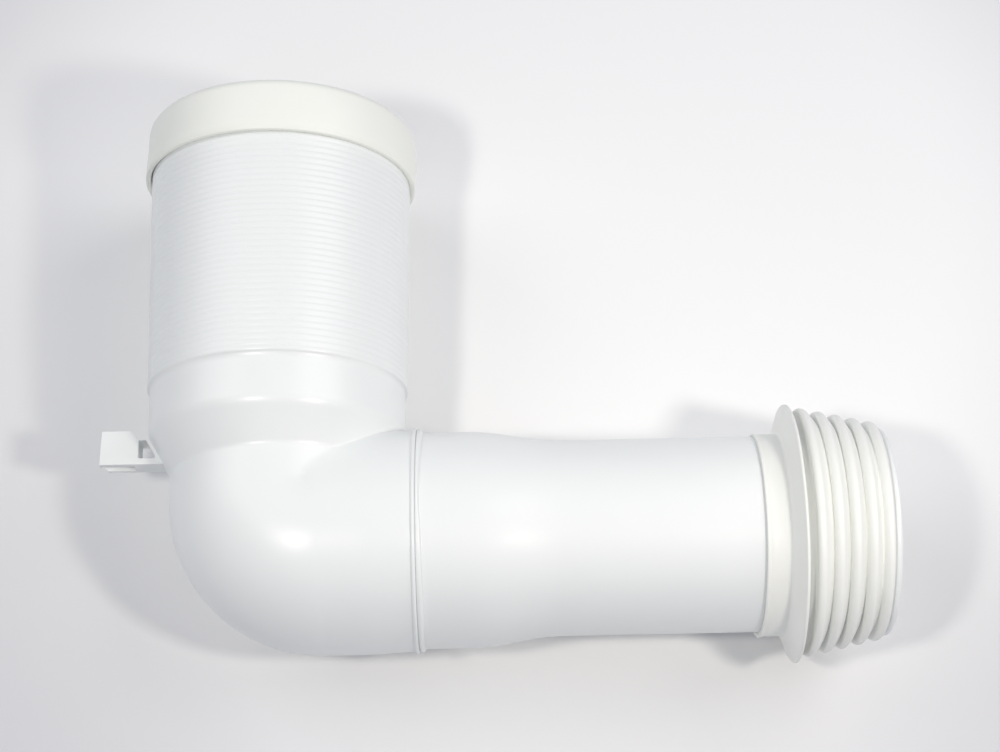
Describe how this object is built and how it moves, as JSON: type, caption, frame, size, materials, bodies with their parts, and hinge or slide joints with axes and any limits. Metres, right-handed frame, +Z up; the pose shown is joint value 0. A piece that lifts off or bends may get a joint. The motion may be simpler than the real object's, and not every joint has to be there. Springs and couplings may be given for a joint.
{
  "type": "waste elbow",
  "caption": "Plastic 90 degree waste elbow with a ribbed socket, a rubber collar at its mouth, a narrowing outlet pipe and a finned rubber seal.",
  "frame": {"origin": "on the socket's axis, at the middle of the land inside the inlet seal that grips the pan's outlet", "axes": "+Y out of the socket's mouth, +X along the outlet pipe, +Z up from the surface it lies on"},
  "size_m": [0.3623, 0.2667, 0.1314],
  "materials": {
    "body_plastic": "smooth moulded white plastic, semi-gloss",
    "pipe_plastic": "smooth white plastic pipe, semi-gloss",
    "collar_rubber": "warm off-white rubber, satin",
    "fin_rubber": "warm off-white rubber, satin"
  },
  "bodies": {
    "root": {"elbow_body": "body_plastic", "outlet_pipe": "pipe_plastic", "inlet_seal": "collar_rubber", "outlet_seal": "fin_rubber"}
  },
  "joints": []
}
